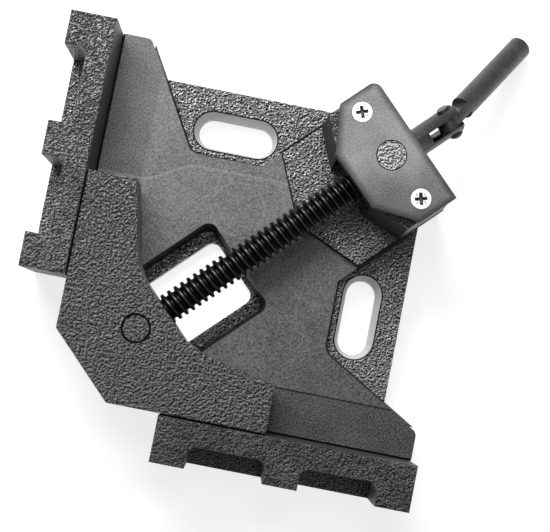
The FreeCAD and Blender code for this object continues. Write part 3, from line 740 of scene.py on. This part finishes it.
def turn_profile(form, centre, profile):
    """A solid of revolution about an upright axis, from pairs of radius and height."""
    rings = []
    for radius, height in profile:
        middle = centre + UP * height
        if radius == 0.0:
            rings.append([form.verts.new(middle)])
            continue
        ring = []
        for step in range(TURN_STEPS):
            angle = 2.0 * math.pi * step / TURN_STEPS
            ring.append(form.verts.new(
                middle + Vector((radius * math.cos(angle), radius * math.sin(angle), 0.0))))
        rings.append(ring)
    for lower, upper in zip(rings, rings[1:]):
        for step in range(TURN_STEPS):
            after = (step + 1) % TURN_STEPS
            corners = []
            for ring, spots in ((lower, (step, after)), (upper, (after, step))):
                for spot in spots if len(ring) > 1 else (0,):
                    corners.append(ring[spot])
            form.faces.new(corners)


def wedge(form, centre, turn, near, far, wide, deep, shrink):
    """A bar from near to far of a centre that narrows downwards, to cut a recess with."""
    ahead = Vector((math.cos(turn), math.sin(turn), 0.0))
    aside = Vector((-math.sin(turn), math.cos(turn), 0.0))
    corners = []
    for height, ratio in ((CUTTER_RISE, 1.0), (-deep, shrink)):
        for a, b in ((near, -0.5), (far, -0.5), (far, 0.5), (near, 0.5)):
            corners.append(form.verts.new(
                centre + ahead * a * ratio + aside * wide * b * ratio + UP * height))
    form.faces.new(corners[:4])
    form.faces.new(corners[:3:-1])
    for first in range(4):
        after = (first + 1) % 4
        form.faces.new([corners[k] for k in (first, first + 4, after + 4, after)])


def carve(piece, cutter):
    """Cut one object out of another and drop the cutter."""
    change = piece.modifiers.new("carve", "BOOLEAN")
    change.operation = "DIFFERENCE"
    change.solver = "EXACT"
    change.use_self = True
    change.material_mode = "TRANSFER"
    change.object = cutter
    graph = bpy.context.evaluated_depsgraph_get()
    mesh = bpy.data.meshes.new_from_object(piece.evaluated_get(graph))
    piece.modifiers.clear()
    piece.data = mesh
    mesh.set_sharp_from_angle(angle=math.radians(HEAD_SHARP))
    bpy.data.objects.remove(cutter)


def make_cover_screw(node, material, recess):
    """A countersunk screw whose head has a cross recess with a tick between its arms."""
    low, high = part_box(node)
    radius = (high.x - low.x) / 2.0 - HEAD_JOINT
    shank = radius / 2.0
    top = Vector(((low.x + high.x) / 2.0, (low.y + high.y) / 2.0, high.z))
    foot = low.z - high.z

    def fill(form):
        turn_profile(form, top, [
            (0.0, foot), (shank - SHANK_CHAMFER, foot), (shank, foot + SHANK_CHAMFER),
            (shank, shank - radius), (radius, -HEAD_LIP), (radius - HEAD_LIP, 0.0), (0.0, 0.0)])

    def fill_cutter(form):
        turn = math.radians(RECESS_TURNS[node])
        for quarter in range(2):
            wedge(form, top, turn + quarter * math.pi / 2.0, -RECESS_REACH, RECESS_REACH,
                  RECESS_WIDE, RECESS_DEEP, RECESS_TAPER)
        for quarter in range(4):
            wedge(form, top, turn + (quarter + 0.5) * math.pi / 2.0, TICK_NEAR, TICK_FAR,
                  TICK_WIDE, TICK_DEEP, 1.0)

    piece = new_piece(node.replace("cover_screw", "cross_screw"), fill, material, sharp=HEAD_SHARP)
    carve(piece, new_piece("recess_cutter", fill_cutter, recess))
    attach(piece, "base")
    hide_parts(node)


# Setting

def make_floor():
    """A wide pale floor under the vise, white to the camera and in reflections."""
    form = bmesh.new()
    bmesh.ops.create_grid(form, x_segments=1, y_segments=1, size=FLOOR_HALF)
    mesh = bpy.data.meshes.new("floor")
    form.to_mesh(mesh)
    form.free()
    floor = bpy.data.objects.new("floor", mesh)
    floor.location = FLOOR_CENTRE
    bpy.context.scene.collection.objects.link(floor)
    material = bpy.data.materials.new("pale_floor")
    material.use_nodes = True
    tree = material.node_tree
    tree.nodes.clear()
    output = tree.nodes.new("ShaderNodeOutputMaterial")
    matt = tree.nodes.new("ShaderNodeBsdfDiffuse")
    matt.inputs["Color"].default_value = grey(FLOOR_MATT)
    dim = tree.nodes.new("ShaderNodeBsdfDiffuse")
    dim.inputs["Color"].default_value = grey(FLOOR_DIM)
    glow = tree.nodes.new("ShaderNodeEmission")
    glow.inputs["Strength"].default_value = FLOOR_GLOW
    pale = tree.nodes.new("ShaderNodeAddShader")
    tree.links.new(dim.outputs[0], pale.inputs[0])
    tree.links.new(glow.outputs[0], pale.inputs[1])
    choice = tree.nodes.new("ShaderNodeMixShader")
    tree.links.new(seen_directly(tree), choice.inputs[0])
    tree.links.new(matt.outputs[0], choice.inputs[1])
    tree.links.new(pale.outputs[0], choice.inputs[2])
    tree.links.new(choice.outputs[0], output.inputs["Surface"])
    mesh.materials.append(material)


def seen_directly(tree):
    """1 for what the camera, a reflection or a view through glass sees, 0 for other light."""
    path = tree.nodes.new("ShaderNodeLightPath")
    total = path.outputs["Is Camera Ray"]
    for name in ("Is Glossy Ray", "Is Transmission Ray"):
        greater = tree.nodes.new("ShaderNodeMath")
        greater.operation = "MAXIMUM"
        tree.links.new(total, greater.inputs[0])
        tree.links.new(path.outputs[name], greater.inputs[1])
        total = greater.outputs[0]
    return total


def make_world():
    """A studio: white near the horizon, darker overhead."""
    world = bpy.data.worlds.new("studio")
    world.use_nodes = True
    bpy.context.scene.world = world
    tree = world.node_tree
    background = tree.nodes["Background"]
    coordinates = tree.nodes.new("ShaderNodeTexCoord")
    parts = tree.nodes.new("ShaderNodeSeparateXYZ")
    tree.links.new(coordinates.outputs["Generated"], parts.inputs[0])
    ramp = tree.nodes.new("ShaderNodeValToRGB")
    tree.links.new(parts.outputs[2], ramp.inputs[0])
    marks = ramp.color_ramp.elements
    for mark, (place, tone) in zip(marks, (SKY_HORIZON, SKY_OVERHEAD)):
        mark.position = place
        mark.color = grey(tone)
    marks.new(SKY_MIDDLE[0]).color = grey(SKY_MIDDLE[1])
    tree.links.new(ramp.outputs[0], background.inputs["Color"])
    level = tree.nodes.new("ShaderNodeMapRange")
    tree.links.new(seen_directly(tree), level.inputs[0])
    level.inputs[3].default_value = SKY_DIFFUSE
    level.inputs[4].default_value = 1.0
    tree.links.new(level.outputs[0], background.inputs["Strength"])


def add_softbox(name, place, target, size, watts):
    """A rectangular lamp that faces a target."""
    lamp = bpy.data.lights.new(name, "AREA")
    lamp.shape = "RECTANGLE"
    lamp.size, lamp.size_y = size
    lamp.energy = watts
    holder = bpy.data.objects.new(name, lamp)
    holder.location = place
    holder.rotation_euler = (Vector(target) - Vector(place)).to_track_quat("-Z", "Y").to_euler()
    bpy.context.scene.collection.objects.link(holder)


def make_camera():
    """A camera where the photograph was taken from, nearly straight above the vise."""
    lens = bpy.data.cameras.new("photo_camera")
    lens.sensor_width = CAMERA_SENSOR
    lens.lens = CAMERA_LENS
    lens.clip_start = 0.01
    camera = bpy.data.objects.new("photo_camera", lens)
    camera.location = CAMERA_PLACE
    camera.rotation_euler = [math.radians(angle) for angle in CAMERA_TURN]
    bpy.context.scene.collection.objects.link(camera)
    bpy.context.scene.camera = camera


bpy.context.scene.view_settings.view_transform = "Standard"
make_camera()
make_floor()
make_world()
for lamp_values in LAMPS:
    add_softbox(*lamp_values)

black_oxide = oxide_finish("black_oxide", level=0.03, rough=0.3, metallic=0.9, hollow=SCREW_HOLLOW)
satin_oxide = oxide_finish("satin_oxide", level=0.08, rough=0.3, metallic=0.75)
zinc = bright_finish("bright_zinc", dark=0.68, light=0.82, rough=0.34)
steel = bright_finish("plain_steel", dark=0.25, light=0.4, rough=0.3)
# Darker zinc inside the cross recesses: painted shade.
shaded_zinc = bright_finish("shaded_zinc", dark=0.05, light=0.16, rough=0.4)
dress("base_casting", casting_finish())
for painted_node, paint_values in PAINTED.items():
    dress(painted_node, hammered_paint(*paint_values))
dress("cover_plate", plate_finish())
dress("thrust_washer", steel)
dress("retaining_ring", steel)
dress("handle_bar", satin_oxide)
dress("handle_rivet", satin_oxide)
make_lead_screw(black_oxide)
for node in RECESS_TURNS:
    make_cover_screw(node, zinc, shaded_zinc)
